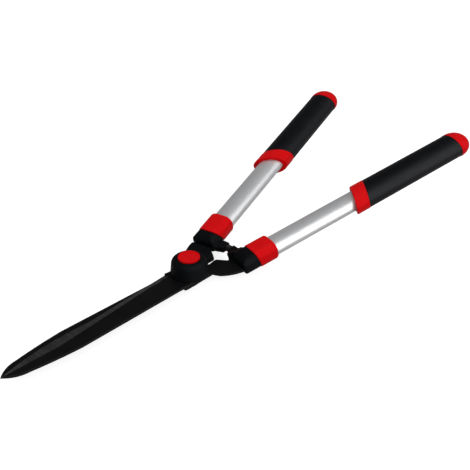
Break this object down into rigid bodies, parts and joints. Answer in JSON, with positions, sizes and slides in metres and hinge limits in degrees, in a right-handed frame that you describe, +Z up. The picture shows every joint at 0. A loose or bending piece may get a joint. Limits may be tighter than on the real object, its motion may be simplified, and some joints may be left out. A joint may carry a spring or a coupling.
{
  "type": "hedge shears",
  "caption": "Hedge shears with two crossed blades on one bolt, oval tube handles that rise from the blades, foam grips, red collars and caps, and rubber stops.",
  "frame": {"origin": "on the pivot's axis, at the flat underside of the pivot bolt's head, the lowest face of the part", "axes": "+X from the pivot towards the handles with the blades along -X, +Y towards the handle of the upper blade, +Z up through the upper blade and the red pivot cap"},
  "size_m": [0.608, 0.2452, 0.097],
  "materials": {
    "coated_steel": "black non-stick coating, satin",
    "zinc_steel": "zinc plated",
    "black_plastic": "moulded, fine grain",
    "red_plastic": "moulded, semi-gloss",
    "aluminium": "satin anodised",
    "grip_rubber": "soft foam",
    "bumper_rubber": "moulded"
  },
  "bodies": {
    "right_half": {"lower_blade": "coated_steel", "right_socket": "black_plastic", "right_rivet": "zinc_steel", "right_collar": "red_plastic", "right_tube": "aluminium", "right_ferrule": "red_plastic", "right_grip": "grip_rubber", "right_end_cap": "red_plastic", "right_bumper": "bumper_rubber", "pivot_bolt": "zinc_steel", "head_washer": "zinc_steel", "nut_washer": "zinc_steel", "spring_washer": "zinc_steel", "lock_nut": "zinc_steel"},
    "left_half": {"upper_blade": "coated_steel", "left_socket": "black_plastic", "left_rivet": "zinc_steel", "left_collar": "red_plastic", "left_tube": "aluminium", "left_ferrule": "red_plastic", "left_grip": "grip_rubber", "left_end_cap": "red_plastic", "left_bumper": "bumper_rubber", "pivot_cover": "black_plastic", "pivot_cap": "red_plastic"}
  },
  "joints": [
    {"name": "pivot", "type": "hinge", "parent": "right_half", "child": "left_half", "pos_m": [0, 0, 0.0115], "axis": [0, 0, 1], "range_deg": [0, 55]}
  ]
}
